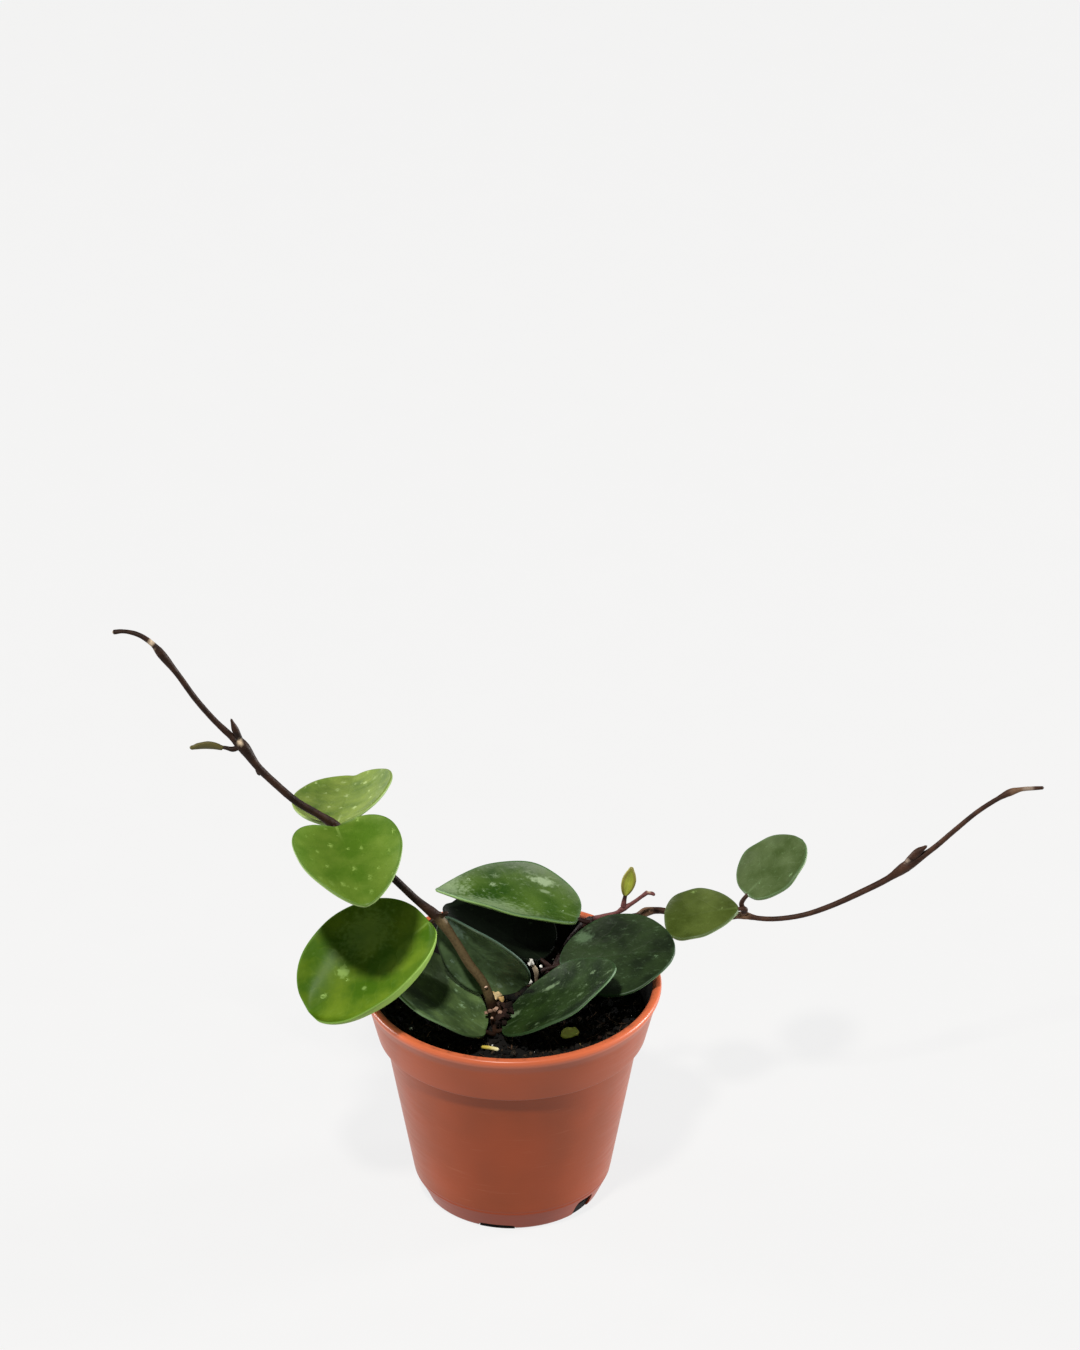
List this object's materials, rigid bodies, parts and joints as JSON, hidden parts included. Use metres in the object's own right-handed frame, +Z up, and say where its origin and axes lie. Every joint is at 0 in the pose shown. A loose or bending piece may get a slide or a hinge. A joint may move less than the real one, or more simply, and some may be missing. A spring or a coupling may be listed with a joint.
{
  "type": "potted hoya plant",
  "caption": "Small nursery pot of dark soil with rooted vine cuttings: long bare runners and round, waxy, cupped leaves.",
  "frame": {"origin": "centre of the pot's flat underside, where it stands", "axes": "+Z up along the pot's axis, +X to the right and +Y away from the viewer as the plant is usually seen, with the long runners reaching out along -X and +X"},
  "size_m": [0.1844, 0.06, 0.1268],
  "materials": {
    "pot": "satin moulded polypropylene",
    "soil": "dark, damp, crumbly potting mix",
    "stem": "matt brown bark",
    "stem_back": "matt brown bark",
    "stem_right": "matt dark brown bark",
    "leaf_bright": "smooth waxy leaf, mid green",
    "leaf_cupped": "smooth waxy leaf, bright green",
    "leaf_grey_green": "smooth waxy leaf, yellow green and grey green",
    "leaf_dark": "smooth waxy leaf, dark green",
    "leaf_shade": "smooth waxy leaf, dark blue green",
    "leaf_top": "glossy waxy leaf, mid green",
    "leaf_olive": "smooth waxy leaf, olive green",
    "leaf_blue": "smooth waxy leaf, bluish green",
    "young_leaf": "thin young leaf, yellow green"
  },
  "bodies": {
    "root": {"pot": "pot", "soil": "soil", "left_vine": "stem", "back_vine": "stem_back", "right_vine": "stem_right", "leaf_upper_back": "leaf_grey_green", "leaf_upper_front": "leaf_bright", "leaf_cupped": "leaf_cupped", "leaf_hanging": "leaf_shade", "leaf_low_left": "leaf_dark", "leaf_low_right": "leaf_dark", "leaf_shaded": "leaf_shade", "leaf_right": "leaf_dark", "leaf_top": "leaf_top", "leaf_runner_low": "leaf_olive", "leaf_runner_high": "leaf_blue", "young_leaf_left": "young_leaf", "young_leaf_shoot": "young_leaf"}
  },
  "joints": []
}
